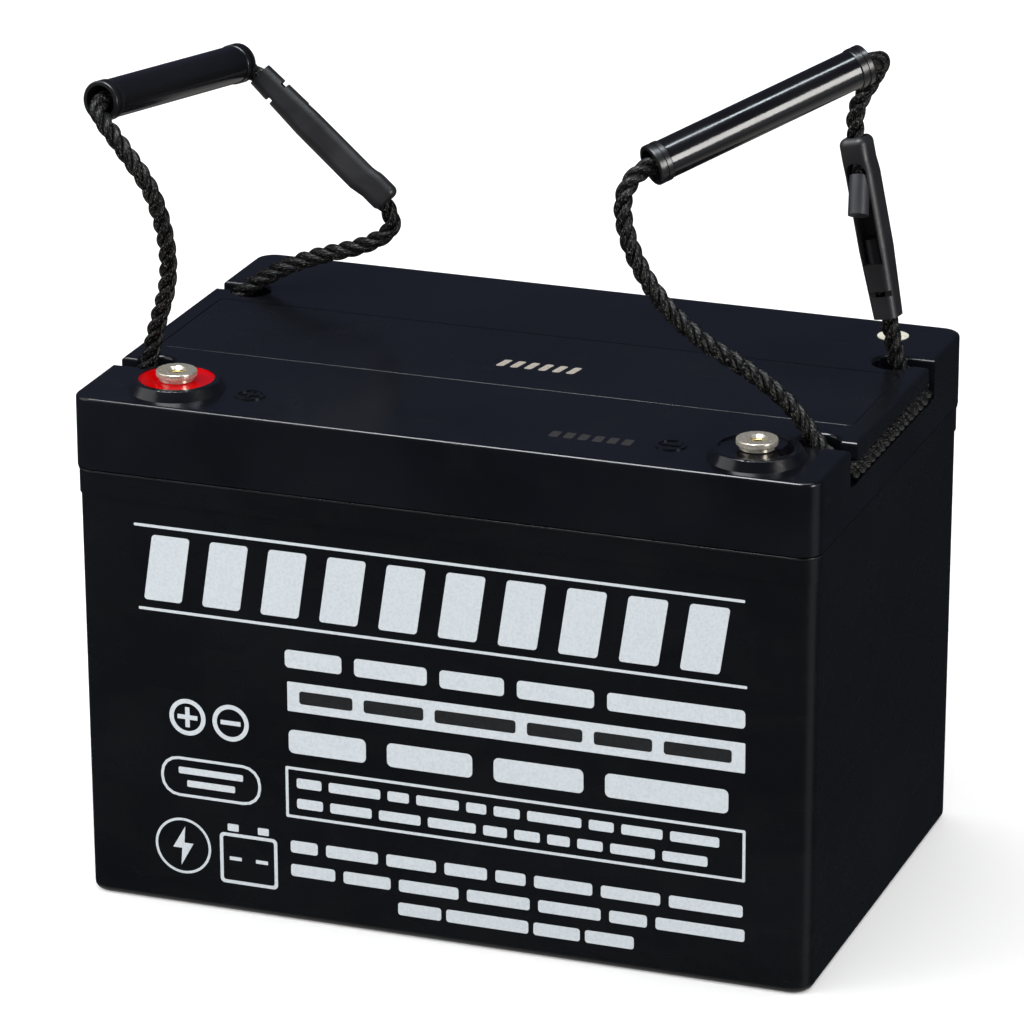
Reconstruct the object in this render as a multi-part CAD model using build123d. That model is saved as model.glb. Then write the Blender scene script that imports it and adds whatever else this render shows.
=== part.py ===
"""Deep cycle battery with two rope handles. Millimetres, +Z up, front face towards -Y.

The origin is the centre of the resting face. Every piece is exported to its own STEP file.
"""

import os
from math import cos, radians, sin, tan

from build123d import *

# ---- driving dimensions ----
LID_LENGTH, LID_WIDTH = 260.0, 168.5
CASE_SEAM_Z = 153.6
LID_TOP_Z = 179.0
CORNER_R = 7.0
TOP_EDGE_R = 1.3
COLLAR_HEIGHT = 9.0
COLLAR_STEP = 0.4
BODY_STEP = 0.8
BODY_DRAFT = 0.6
FOOT_R = 2.5
SEAM_GAP, SEAM_DEPTH = 0.5, 0.9
OVERCUT = 1.0

FLOOR = 3.6
CELL_COUNT = 6
CELL_LENGTH = 40.0
CELL_WIDTH = 160.0
PARTITION = 2.0
CELL_PITCH = CELL_LENGTH + PARTITION
CELL_X = [(i - (CELL_COUNT - 1) / 2) * CELL_PITCH for i in range(CELL_COUNT)]
PARTITION_X = [(i - (CELL_COUNT - 2) / 2) * CELL_PITCH for i in range(CELL_COUNT - 1)]

LOW_CEILING_Z = 162.0
HIGH_CEILING_Z = 175.6

# ---- vent strip in the lid ----
VENT_LENGTH, VENT_WIDTH, VENT_THICK = 247.0, 55.0, 3.0
VENT_Y = 2.5
VENT_FIT = 0.15
VENT_CORNER_R = 3.0
VENT_EDGE_R = 0.4
VALVE_WELL_R, VALVE_WELL_Z = 9.0, 165.8
NOZZLE_R, NOZZLE_BORE_R, NOZZLE_HEIGHT = 4.0, 2.0, 7.0
CAP_R, CAP_TOP, CAP_GAP = 5.6, 1.4, 1.0

# ---- rope, its notches and its groove ----
ROPE_R = 3.1
ROPE_X, ROPE_Z = 128.6, 169.3
ROPE_Y = 44.5
HOLE_X, HOLE_Y, HOLE_R = 117.2, 42.0, 7.0
NECK_WIDTH = 7.4
LEDGE_Z = 165.8
GROOVE_R = 3.6
RELIEF_R, RELIEF_LENGTH = 4.2, 6.0
RIM_R = 0.5

# ---- terminals ----
POSITIVE_X, NEGATIVE_X, TERMINAL_Y = -99.8, 103.1, -63.8
COLLAR_BASE_R, COLLAR_TOP_R, COLLAR_RISE = 16.5, 14.6, 3.5
CUP_R, CUP_FLOOR_Z = 12.8, 174.5
POTTING_DROP = 0.7
POST_R, POST_HOLE_R = 7.0, 9.4
POST_TOP_Z = 172.0
INSERT_TOP_Z, INSERT_HEAD = 185.4, 2.1
INSERT_R, INSERT_EDGE = 6.9, 0.5
INSERT_STEM_R = 5.8
THREAD_R, THREAD_DEPTH = 2.6, 12.0
COUNTERSINK_R = 3.5
ORING_SECTION_R, ORING_Z = 1.19, 166.0

# ---- marks on the lid ----
MARK_X, MARK_Y, MARK_RISE = 73.7, -63.0, 0.4
MARK_RING_R, MARK_LINE = 5.2, 1.0
DOT_X, DOT_Y, DOT_R, DOT_THICK = 109.0, 69.0, 5.4, 0.2

# ---- plates ----
POSITIVE_PLATES, POSITIVE_THICK = 4, 2.6
NEGATIVE_PLATES, NEGATIVE_THICK = 5, 2.0
SEPARATOR_THICK = 2.3
PLATE_WIDTH, PLATE_BOTTOM_Z, PLATE_TOP_Z = 152.0, 7.0, 124.0
SEPARATOR_WIDTH, SEPARATOR_TOP_Z = 157.0, 128.0
LUG_WIDTH = 12.0
STRAP_WIDTH, STRAP_BOTTOM_Z, STRAP_TOP_Z = 20.0, 131.0, 138.0
STRAP_Y, STRAP_BITE = 63.0, 0.5
TAB_THICK, TAB_TOP_Z = 3.0, 151.0
WELD_R, WELD_Z = 5.5, 144.5

# ---- handles ----
GRIP_R, GRIP_BORE_R, GRIP_LENGTH = 6.6, 5.5, 84.0
GRIP_RING_R, GRIP_RING_LENGTH = 6.95, 5.0
GRIP_GROOVE_WIDTH, GRIP_GROOVE_DEPTH = 1.0, 0.35
CLIP_LENGTH = 62.8
CLIP_BORE_R, CLIP_MOUTH_R = 3.5, 3.9
CLIP_CORNER_R, CLIP_HEAD_R = 2.8, 2.6
WINDOW_LOW, WINDOW_HIGH, WINDOW_WIDTH = 19.0, 54.5, 7.2
SLIT_Z, SLIT_HEIGHT, SLIT_DEPTH = 8.7, 2.0, 1.6
FERRULE_LENGTH, LOW_END = 13.5, 14.0
HANG_Z, HANG_LENGTH = 54.2, 5.4

# The clip's section at several heights: height, back face, window face, half its width.
CLIP_SECTIONS = [
    (0.0, -4.4, 4.4, 4.4),
    (24.0, -5.4, 5.0, 5.1),
    (50.0, -5.4, 5.0, 5.1),
    (55.0, -4.5, 5.6, 5.0),
    (CLIP_LENGTH, -4.5, 5.6, 5.0),
]

# ---- rope routes: the corners of each rope outside its clip, from the groove's rear notch on ----
# A lead is how far the rope runs straight on past that end of the clip.
# A tilt is how far the high rope end and its ferrule lean out of the window.
RIGHT_CLIP_LOW, RIGHT_CLIP_HIGH = (114.5, 44.0, 194.4), (101.4, 46.0, 255.7)
RIGHT_WINDOW_FACES, RIGHT_TILT = (-0.13, -0.97, 0.02), 28.0
RIGHT_GRIP_START, RIGHT_GRIP_END = (55.0, -30.0, 262.0), (108.7, 30.0, 285.5)
RIGHT_LOW_LEAD, RIGHT_HIGH_LEAD = 14.4, 8.0
RIGHT_ROUTE = [
    (118.80, 44.50, 175.60),
    (128.60, 44.50, 169.30),
    (128.50, 28.50, 169.42),
    (128.50, -28.50, 169.42),
    (128.60, -44.50, 169.30),
    (118.30, -44.50, 176.80),
    (110.40, -43.20, 188.30),
    (97.00, -42.70, 198.60),
    (69.00, -42.30, 212.50),
    (51.50, -42.00, 235.50),
    (47.00, -38.90, 258.50),
    (62.60, -21.30, 265.60),
    (101.10, 21.30, 282.00),
    (113.80, 35.70, 287.70),
    (108.00, 47.00, 278.00),
]
LEFT_CLIP_LOW, LEFT_CLIP_HIGH = (-115.03, 48.56, 255.74), (-68.56, 50.07, 213.63)
LEFT_WINDOW_FACES, LEFT_TILT = (0.61, 0.38, 0.69), 0.0
LEFT_GRIP_START, LEFT_GRIP_END = (-136.7, -38.0, 267.3), (-120.7, 44.0, 260.5)
LEFT_LOW_LEAD, LEFT_HIGH_LEAD = 6.5, 6.7
LEFT_ROUTE = [
    (-72.00, 49.40, 198.60),
    (-100.00, 46.00, 191.00),
    (-120.50, 44.50, 178.80),
    (-128.60, 44.50, 169.30),
    (-128.50, 28.50, 169.42),
    (-128.50, -28.50, 169.42),
    (-128.60, -44.50, 169.30),
    (-118.80, -44.50, 175.80),
    (-115.90, -44.40, 191.00),
    (-108.50, -45.50, 213.00),
    (-112.00, -49.00, 240.00),
    (-124.00, -49.50, 256.00),
    (-137.70, -43.40, 267.80),
    (-134.30, -26.30, 266.50),
    (-122.90, 32.30, 261.70),
]

os.makedirs("parts", exist_ok=True)


def save(shape, node):
    """Writes one piece to its STEP file."""
    export_step(shape, f"parts/{node}.step")


def block(x0, x1, y0, y1, z0, z1):
    """A box given by its limits."""
    centre = Pos((x0 + x1) / 2, (y0 + y1) / 2, (z0 + z1) / 2)
    return centre * Box(x1 - x0, y1 - y0, z1 - z0)


def rod(x, y, z0, z1, radius):
    """An upright cylinder given by its two heights."""
    return Pos(x, y, (z0 + z1) / 2) * Cylinder(radius, z1 - z0)


def rounded_slab(length, width, radius, z0, z1, y=0.0):
    """An upright prism on a rounded rectangle."""
    outline = Pos(0, y, z0) * RectangleRounded(length, width, radius)
    return extrude(outline, z1 - z0)


def group(pieces):
    """Several loose solids as one shape."""
    return Compound(children=list(pieces))


# ---- case ----
def make_case():
    """The drafted box with its collar, six cells and the holes for the cell welds."""
    collar_z = CASE_SEAM_Z - COLLAR_HEIGHT
    top_length = LID_LENGTH - 2 * BODY_STEP
    top_width = LID_WIDTH - 2 * BODY_STEP
    foot = RectangleRounded(top_length - 2 * BODY_DRAFT, top_width - 2 * BODY_DRAFT, CORNER_R)
    shoulder = Pos(0, 0, collar_z) * RectangleRounded(top_length, top_width, CORNER_R)
    body = loft([foot.face(), shoulder.face()])
    body = fillet(body.edges().group_by(Axis.Z)[0], FOOT_R)
    collar = rounded_slab(
        LID_LENGTH - 2 * COLLAR_STEP, LID_WIDTH - 2 * COLLAR_STEP, CORNER_R, collar_z, CASE_SEAM_Z
    )
    case = body + collar
    for x in CELL_X:
        half = CELL_LENGTH / 2
        case -= block(x - half, x + half, -CELL_WIDTH / 2, CELL_WIDTH / 2, FLOOR, CASE_SEAM_Z)
    for index, x in enumerate(PARTITION_X):
        case -= weld_slug(index, x)
    return case


def weld_slug(index, x):
    """The lead that joins two neighbouring cells through the partition at x."""
    side = 1 if index % 2 == 0 else -1
    return Pos(x, side * STRAP_Y, WELD_Z) * Rot(0, 90, 0) * Cylinder(WELD_R, PARTITION)


# ---- lid ----
def notch_tools(side):
    """Two keyhole notches for one rope: a round hole with a neck that runs out of the side."""
    outside = side * (LID_LENGTH / 2 + OVERCUT)
    low_x, high_x = sorted((side * HOLE_X, outside))
    high_z = LID_TOP_Z + OVERCUT
    half = NECK_WIDTH / 2
    tools = []
    for end in (-1, 1):
        y = end * ROPE_Y
        tools.append(block(low_x, high_x, y - half, y + half, LEDGE_Z, high_z))
        tools.append(rod(side * HOLE_X, end * HOLE_Y, LEDGE_Z, high_z, HOLE_R))
    return tools


def groove_tools(side):
    """The round groove between the two notches of one side, wider where the rope bends."""
    outside = side * (LID_LENGTH / 2 + OVERCUT)
    low_x, high_x = sorted((side * ROPE_X, outside))
    axis = Pos(side * ROPE_X, 0, ROPE_Z) * Rot(90, 0, 0)
    mouth = block(low_x, high_x, -ROPE_Y, ROPE_Y, ROPE_Z - GROOVE_R, ROPE_Z + GROOVE_R)
    tools = [axis * Cylinder(GROOVE_R, 2 * ROPE_Y), mouth]
    for end in (-1, 1):
        y = end * (ROPE_Y - RELIEF_LENGTH / 2)
        tools.append(Pos(side * ROPE_X, y, ROPE_Z) * Rot(90, 0, 0) * Cylinder(RELIEF_R, RELIEF_LENGTH))
    return tools


def terminal_boss(x):
    """The sloped collar round one terminal."""
    collar = Pos(x, TERMINAL_Y, LID_TOP_Z + COLLAR_RISE / 2) * Cone(
        COLLAR_BASE_R, COLLAR_TOP_R, COLLAR_RISE
    )
    return fillet(collar.edges().group_by(Axis.Z)[-1], RIM_R)


def polarity_mark(x, plus):
    """A raised ring with a plus or a minus inside."""
    z0, z1 = LID_TOP_Z - MARK_RISE, LID_TOP_Z + MARK_RISE
    ring = rod(x, MARK_Y, z0, z1, MARK_RING_R) - rod(x, MARK_Y, z0, z1, MARK_RING_R - MARK_LINE)
    reach = MARK_RING_R - 2 * MARK_LINE
    half = MARK_LINE / 2
    mark = ring + block(x - reach, x + reach, MARK_Y - half, MARK_Y + half, z0, z1)
    if plus:
        mark += block(x - half, x + half, MARK_Y - reach, MARK_Y + reach, z0, z1)
    return mark


def lid_pockets():
    """The hollows under the lid: a low ceiling over each cell, and a higher one beside the vents."""
    half_x, half_y = CELL_LENGTH / 2, CELL_WIDTH / 2
    rear_y = VENT_Y + VENT_WIDTH / 2 + PARTITION
    front_y = VENT_Y - VENT_WIDTH / 2 - PARTITION
    pockets = []
    for x in CELL_X:
        pockets.append(block(x - half_x, x + half_x, -half_y, half_y, CASE_SEAM_Z, LOW_CEILING_Z))
    for x in CELL_X[1:-1]:
        pockets.append(block(x - half_x, x + half_x, rear_y, half_y, LOW_CEILING_Z, HIGH_CEILING_Z))
        pockets.append(block(x - half_x, x + half_x, -half_y, front_y, LOW_CEILING_Z, HIGH_CEILING_Z))
    return pockets


def make_lid():
    """The lid with its notches, pockets, vent recess, valve nozzles, collars and grooves."""
    lid = rounded_slab(LID_LENGTH, LID_WIDTH, CORNER_R, CASE_SEAM_Z, LID_TOP_Z)
    for side in (-1, 1):
        for tool in notch_tools(side):
            lid -= tool
    lid = fillet(lid.edges().group_by(Axis.Z)[-1], TOP_EDGE_R)
    for side in (-1, 1):
        for tool in groove_tools(side):
            lid -= tool
    for pocket in lid_pockets():
        lid -= pocket
    for x in (POSITIVE_X, NEGATIVE_X):
        lid += terminal_boss(x)
        lid -= rod(x, TERMINAL_Y, CUP_FLOOR_Z, LID_TOP_Z + COLLAR_RISE, CUP_R)
        lid -= rod(x, TERMINAL_Y, LOW_CEILING_Z, CUP_FLOOR_Z, POST_HOLE_R)
    for side in (-1, 1):
        lid += polarity_mark(side * MARK_X, plus=side < 0)
    recess_z = LID_TOP_Z - VENT_THICK
    lid -= rounded_slab(VENT_LENGTH, VENT_WIDTH, VENT_CORNER_R, recess_z, LID_TOP_Z, y=VENT_Y)
    for x in CELL_X:
        well = rod(x, VENT_Y, VALVE_WELL_Z, recess_z, VALVE_WELL_R)
        lid -= well - rod(x, VENT_Y, VALVE_WELL_Z, VALVE_WELL_Z + NOZZLE_HEIGHT, NOZZLE_R)
        lid -= rod(x, VENT_Y, LOW_CEILING_Z, recess_z, NOZZLE_BORE_R)
    return lid - seam_band()


def seam_band():
    """The shadow gap round the foot of the lid."""
    top = CASE_SEAM_Z + SEAM_GAP
    outer = rounded_slab(LID_LENGTH + OVERCUT, LID_WIDTH + OVERCUT, CORNER_R, CASE_SEAM_Z, top)
    inner = rounded_slab(
        LID_LENGTH - 2 * SEAM_DEPTH, LID_WIDTH - 2 * SEAM_DEPTH, CORNER_R, CASE_SEAM_Z, top
    )
    return outer - inner


def make_vent_cover():
    """The flush strip over the valves; it rests on the floor of the recess."""
    cover = rounded_slab(
        VENT_LENGTH - 2 * VENT_FIT,
        VENT_WIDTH - 2 * VENT_FIT,
        VENT_CORNER_R - VENT_FIT,
        LID_TOP_Z - VENT_THICK,
        LID_TOP_Z,
        y=VENT_Y,
    )
    return fillet(cover.edges().group_by(Axis.Z)[-1], VENT_EDGE_R)


def make_valve_cap(x):
    """A rubber cap over one nozzle."""
    skirt = VALVE_WELL_Z + CAP_GAP
    top = VALVE_WELL_Z + NOZZLE_HEIGHT
    cap = rod(x, VENT_Y, skirt, top + CAP_TOP, CAP_R)
    cap = fillet(cap.edges().group_by(Axis.Z)[-1], CAP_TOP / 2)
    return cap - rod(x, VENT_Y, skirt, top, NOZZLE_R)


# ---- terminals ----
def make_insert(x):
    """The threaded terminal insert: a round head on a narrower stem."""
    head_bottom = INSERT_TOP_Z - INSERT_HEAD
    head = rod(x, TERMINAL_Y, head_bottom, INSERT_TOP_Z, INSERT_R)
    head = fillet(head.edges().filter_by(GeomType.CIRCLE), INSERT_EDGE)
    insert = head + rod(x, TERMINAL_Y, POST_TOP_Z, head_bottom, INSERT_STEM_R)
    insert -= rod(x, TERMINAL_Y, INSERT_TOP_Z - THREAD_DEPTH, INSERT_TOP_Z, THREAD_R)
    rise = COUNTERSINK_R - THREAD_R
    sink = Pos(x, TERMINAL_Y, INSERT_TOP_Z - rise / 2) * Cone(THREAD_R, COUNTERSINK_R, rise)
    return insert - sink


def make_potting(x):
    """The coloured resin that fills the cup and the hole below it round the insert."""
    top = LID_TOP_Z + COLLAR_RISE - POTTING_DROP
    outer = rod(x, TERMINAL_Y, CUP_FLOOR_Z, top, CUP_R)
    outer += rod(x, TERMINAL_Y, POST_TOP_Z, CUP_FLOOR_Z, POST_HOLE_R)
    return outer - rod(x, TERMINAL_Y, POST_TOP_Z, top, INSERT_STEM_R)


def make_post(x):
    """The lead post that rises from the strap to the insert."""
    return rod(x, TERMINAL_Y, STRAP_TOP_Z, POST_TOP_Z, POST_R)


def make_oring(x):
    """The seal between the post and the hole in the lid."""
    return Pos(x, TERMINAL_Y, ORING_Z) * Torus((POST_R + POST_HOLE_R) / 2, ORING_SECTION_R)


# ---- cells ----
def plate_stack(x):
    """The x limits of each positive plate, negative plate and separator of one cell."""
    total = (
        POSITIVE_PLATES * POSITIVE_THICK
        + NEGATIVE_PLATES * NEGATIVE_THICK
        + (POSITIVE_PLATES + NEGATIVE_PLATES - 1) * SEPARATOR_THICK
    )
    positive, negative, separators = [], [], []
    edge = x - total / 2
    for index in range(POSITIVE_PLATES + NEGATIVE_PLATES):
        plates, thick = (negative, NEGATIVE_THICK) if index % 2 == 0 else (positive, POSITIVE_THICK)
        plates.append((edge, edge + thick))
        edge += thick
        if index < POSITIVE_PLATES + NEGATIVE_PLATES - 1:
            separators.append((edge, edge + SEPARATOR_THICK))
            edge += SEPARATOR_THICK
    return positive, negative, separators


def make_plate_group(x, plates, strap_side, tab_side):
    """Plates of one polarity cast into a strap, with a tab against the partition beside it."""
    half = PLATE_WIDTH / 2
    y = strap_side * STRAP_Y
    solid = block(
        plates[0][0], plates[-1][1], y - STRAP_WIDTH / 2, y + STRAP_WIDTH / 2, STRAP_BOTTOM_Z, STRAP_TOP_Z
    )
    for x0, x1 in plates:
        plate = block(x0, x1, -half, half, PLATE_BOTTOM_Z, PLATE_TOP_Z)
        lug = block(x0, x1, y - LUG_WIDTH / 2, y + LUG_WIDTH / 2, PLATE_TOP_Z, STRAP_BOTTOM_Z)
        solid = solid + plate + lug
    if tab_side:
        wall = x + tab_side * CELL_LENGTH / 2
        inner = x + tab_side * (CELL_LENGTH / 2 - TAB_THICK)
        low_x, high_x = sorted((wall, inner))
        y0, y1 = y - STRAP_WIDTH / 2, y + STRAP_WIDTH / 2
        solid += block(low_x, high_x, y0, y1, STRAP_BOTTOM_Z, TAB_TOP_Z)
        edge = plates[-1][1] if tab_side > 0 else plates[0][0]
        low_x, high_x = sorted((edge, inner))
        solid += block(
            low_x - STRAP_BITE, high_x + STRAP_BITE, y0, y1, STRAP_BOTTOM_Z, STRAP_TOP_Z
        )
    return solid


def make_separators(separators):
    """The glass mat sheets of one cell."""
    half = SEPARATOR_WIDTH / 2
    return group(block(x0, x1, -half, half, FLOOR, SEPARATOR_TOP_Z) for x0, x1 in separators)


# ---- handles ----
def route_tube(name, points, radius):
    """A rope swept along straight runs and tangent arcs; prints the arc radii."""
    vectors = [Vector(p) for p in points]
    radii = []
    for before, corner, after in zip(vectors, vectors[1:], vectors[2:]):
        turn = radians((corner - before).get_angle(after - corner))
        shorter = min((corner - before).length, (after - corner).length)
        radii.append(0.45 * shorter / tan(turn / 2))
    path = FilletPolyline(*vectors, radius=radii)
    start = Plane(origin=vectors[0], z_dir=vectors[1] - vectors[0])
    tube = sweep(start * Circle(radius), path=path)
    print(name, "radii", [round(r, 1) for r in radii])
    print(name, "length", round(path.length, 1), "volume", round(tube.volume))
    return tube


def on_axis(start, end, distance):
    """The point on the line from start to end at this distance past start."""
    origin = Vector(*start)
    return origin + (Vector(*end) - origin).normalized() * distance


def along(start, end, side_hint=None):
    """A plane at start whose normal runs to end and whose x axis leans towards side_hint."""
    origin, normal = Vector(*start), (Vector(*end) - Vector(*start)).normalized()
    hint = Vector(*side_hint) if side_hint else Vector(0, 0, 1)
    lean = (hint - normal * hint.dot(normal)).normalized()
    return Plane(origin=origin, x_dir=lean, z_dir=normal)


def make_grip_tube():
    """The smooth tube between the two end rings, along +Z from the origin."""
    tube = rod(0, 0, GRIP_RING_LENGTH, GRIP_LENGTH - GRIP_RING_LENGTH, GRIP_R)
    return tube - rod(0, 0, 0, GRIP_LENGTH, GRIP_BORE_R)


def make_grip_ring(z0):
    """An end ring of the grip with a shallow groove round it."""
    ring = rod(0, 0, z0, z0 + GRIP_RING_LENGTH, GRIP_RING_R)
    ring = fillet(ring.edges().filter_by(GeomType.CIRCLE), RIM_R)
    low = z0 + (GRIP_RING_LENGTH - GRIP_GROOVE_WIDTH) / 2
    high = low + GRIP_GROOVE_WIDTH
    band = rod(0, 0, low, high, GRIP_RING_R + OVERCUT)
    ring -= band - rod(0, 0, low, high, GRIP_RING_R - GRIP_GROOVE_DEPTH)
    return ring - rod(0, 0, z0, z0 + GRIP_RING_LENGTH, GRIP_BORE_R)


def clip_section(height, back, front, half):
    """The rounded outline of the clip at one height."""
    outline = RectangleRounded(front - back, 2 * half, CLIP_CORNER_R)
    return Pos((back + front) / 2, 0, height) * outline


def make_clip():
    """The moulded clip along +Z: flat end at the origin, domed end above, window towards +X."""
    clip = None
    for below, above in zip(CLIP_SECTIONS, CLIP_SECTIONS[1:]):
        part = loft([clip_section(*below).face(), clip_section(*above).face()], ruled=True)
        clip = part if clip is None else clip + part
    clip = fillet(clip.edges().group_by(Axis.Z)[-1], CLIP_HEAD_R)
    clip -= rod(0, 0, 0, CLIP_LENGTH, CLIP_BORE_R)
    flare = CLIP_MOUTH_R - CLIP_BORE_R
    clip -= Pos(0, 0, flare / 2) * Cone(CLIP_MOUTH_R, CLIP_BORE_R, flare)
    half = WINDOW_WIDTH / 2
    reach = 2 * CLIP_BORE_R
    clip -= block(0, reach, -half, half, WINDOW_LOW, WINDOW_HIGH - half)
    clip -= Pos(0, 0, WINDOW_HIGH - half) * extrude(Plane.YZ * Circle(half), reach)
    low, high = SLIT_Z - SLIT_HEIGHT / 2, SLIT_Z + SLIT_HEIGHT / 2
    share = SLIT_Z / CLIP_SECTIONS[1][0]
    for face in (1, 2):
        start, end = CLIP_SECTIONS[0][face], CLIP_SECTIONS[1][face]
        floor = start + (end - start) * share
        outwards = 1 if floor > 0 else -1
        low_x, high_x = sorted((floor - outwards * SLIT_DEPTH, floor + outwards * OVERCUT))
        clip -= block(low_x, high_x, -reach, reach, low, high)
    return clip


def hanging_ferrule(tilt):
    """The high ferrule, leaning out of the clip's window by the tilt."""
    return Pos(0, 0, HANG_Z) * Rot(0, -tilt, 0) * rod(
        0, 0, -HANG_LENGTH - FERRULE_LENGTH, -HANG_LENGTH, CLIP_BORE_R
    )


def high_rope_end(clip_plane, lead, tilt):
    """The rope's corners from above the clip's domed end down to the high ferrule."""
    lean = radians(tilt)
    corners = [(0, 0, CLIP_LENGTH + lead)]
    if tilt:
        corners.append((0, 0, HANG_Z))
    corners.append((HANG_LENGTH * sin(lean), 0, HANG_Z - HANG_LENGTH * cos(lean)))
    return [clip_plane.from_local_coords(Vector(*corner)) for corner in corners]


def make_handle(name, rope_points, clip_plane, tilt, grip_start, grip_end):
    """Exports every piece of one handle."""
    save(route_tube(name, rope_points, ROPE_R), f"{name}_rope")
    save(clip_plane * make_clip(), f"{name}_rope_clip")
    low_ferrule = rod(0, 0, LOW_END, LOW_END + FERRULE_LENGTH, CLIP_BORE_R)
    save(clip_plane * low_ferrule, f"{name}_ferrule_low")
    save(clip_plane * hanging_ferrule(tilt), f"{name}_ferrule_high")
    grip_plane = along(grip_start, grip_end)
    save(grip_plane * make_grip_tube(), f"{name}_grip_tube")
    save(grip_plane * make_grip_ring(0), f"{name}_grip_ring_front")
    save(grip_plane * make_grip_ring(GRIP_LENGTH - GRIP_RING_LENGTH), f"{name}_grip_ring_rear")


# ---- export ----
save(make_case(), "case")
save(make_lid(), "lid")
save(make_vent_cover(), "vent_cover")
for number, cell_x in enumerate(CELL_X, start=1):
    save(make_valve_cap(cell_x), f"valve_cap_{number}")
    positive_side = -1 if number % 2 else 1
    positive_tab = 0 if number == 1 else -1
    negative_tab = 0 if number == CELL_COUNT else 1
    positive, negative, separators = plate_stack(cell_x)
    save(make_plate_group(cell_x, positive, positive_side, positive_tab), f"positive_plates_{number}")
    save(make_plate_group(cell_x, negative, -positive_side, negative_tab), f"negative_plates_{number}")
    save(make_separators(separators), f"separators_{number}")
for number, wall_x in enumerate(PARTITION_X, start=1):
    save(weld_slug(number - 1, wall_x), f"cell_weld_{number}")
for pole, pole_x in (("positive", POSITIVE_X), ("negative", NEGATIVE_X)):
    save(make_insert(pole_x), f"{pole}_terminal_insert")
    save(make_potting(pole_x), f"{pole}_terminal_potting")
    save(make_post(pole_x), f"{pole}_terminal_post")
    save(make_oring(pole_x), f"{pole}_terminal_seal")
save(rod(DOT_X, DOT_Y, LID_TOP_Z, LID_TOP_Z + DOT_THICK, DOT_R), "inspection_dot")

right_clip = along(RIGHT_CLIP_LOW, RIGHT_CLIP_HIGH, RIGHT_WINDOW_FACES)
right_low_end = [on_axis(RIGHT_CLIP_LOW, RIGHT_CLIP_HIGH, d) for d in (LOW_END, -RIGHT_LOW_LEAD)]
right_high_end = high_rope_end(right_clip, RIGHT_HIGH_LEAD, RIGHT_TILT)
make_handle(
    "right_handle",
    right_low_end + RIGHT_ROUTE + right_high_end,
    right_clip,
    RIGHT_TILT,
    RIGHT_GRIP_START,
    RIGHT_GRIP_END,
)

left_clip = along(LEFT_CLIP_LOW, LEFT_CLIP_HIGH, LEFT_WINDOW_FACES)
left_low_end = [on_axis(LEFT_CLIP_LOW, LEFT_CLIP_HIGH, d) for d in (-LEFT_LOW_LEAD, LOW_END)]
left_high_end = high_rope_end(left_clip, LEFT_HIGH_LEAD, LEFT_TILT)[::-1]
make_handle(
    "left_handle",
    left_high_end + LEFT_ROUTE + left_low_end,
    left_clip,
    LEFT_TILT,
    LEFT_GRIP_START,
    LEFT_GRIP_END,
)
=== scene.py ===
"""Looks for the deep cycle battery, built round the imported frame. Metres, +Z up, front towards -Y."""

import math
import random
from collections import namedtuple

import bmesh
import bpy
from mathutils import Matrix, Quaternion, Vector


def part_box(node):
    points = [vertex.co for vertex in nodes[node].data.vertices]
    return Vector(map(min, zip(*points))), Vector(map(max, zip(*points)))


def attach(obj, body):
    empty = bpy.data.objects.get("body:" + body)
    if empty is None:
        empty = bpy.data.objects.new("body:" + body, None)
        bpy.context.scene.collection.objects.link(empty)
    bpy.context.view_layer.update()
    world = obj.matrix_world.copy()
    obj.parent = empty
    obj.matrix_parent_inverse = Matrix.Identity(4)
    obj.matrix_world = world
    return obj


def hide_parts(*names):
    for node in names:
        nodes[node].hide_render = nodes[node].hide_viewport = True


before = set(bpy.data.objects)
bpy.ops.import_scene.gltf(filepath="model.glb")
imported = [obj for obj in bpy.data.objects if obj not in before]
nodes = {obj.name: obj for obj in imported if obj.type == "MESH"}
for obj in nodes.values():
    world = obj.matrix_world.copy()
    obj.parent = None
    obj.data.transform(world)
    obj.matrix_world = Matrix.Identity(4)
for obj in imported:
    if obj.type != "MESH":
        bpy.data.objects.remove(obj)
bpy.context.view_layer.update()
MM = 0.001

# ---- sizes: camera ----
CAMERA_AT = Vector((0.6393, -1.746, 0.806))
CAMERA_AZIMUTH = math.radians(20.24)
CAMERA_DROP = math.radians(20.11)
CAMERA_ROLL = math.radians(-0.16)
CAMERA_LENS = 204.5
CAMERA_SENSOR = 36.0
CAMERA_CLIP = (0.05, 50.0)

# ---- sizes: ropes ----
ROPE_PITCH = 16.5 * MM
STRANDS = 3
STRAND_R = 1.46 * MM
STRAND_LAY_R = 1.66 * MM
YARNS = 12
YARN_VERTS = 3
YARN_PITCH = 10.5 * MM
YARN_DEPTH = 0.13
ROPE_STEP = 0.55 * MM
LINE_STEPS = 24

# The routes are those of the frame's rope tubes, in metres.
RIGHT_ROUTE = [
    (0.11158, 0.04445, 0.20808),
    (0.11751, 0.04354, 0.18033),
    (0.11880, 0.04450, 0.17560),
    (0.12860, 0.04450, 0.16930),
    (0.12850, 0.02850, 0.16942),
    (0.12850, -0.02850, 0.16942),
    (0.12860, -0.04450, 0.16930),
    (0.11830, -0.04450, 0.17680),
    (0.11040, -0.04320, 0.18830),
    (0.09700, -0.04270, 0.19860),
    (0.06900, -0.04230, 0.21250),
    (0.05150, -0.04200, 0.23550),
    (0.04700, -0.03890, 0.25850),
    (0.06260, -0.02130, 0.26560),
    (0.10110, 0.02130, 0.28200),
    (0.11380, 0.03570, 0.28770),
    (0.10800, 0.04700, 0.27800),
    (0.09971, 0.04626, 0.26360),
    (0.10318, 0.04573, 0.24738),
    (0.10385, 0.04306, 0.24273),
]
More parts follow.
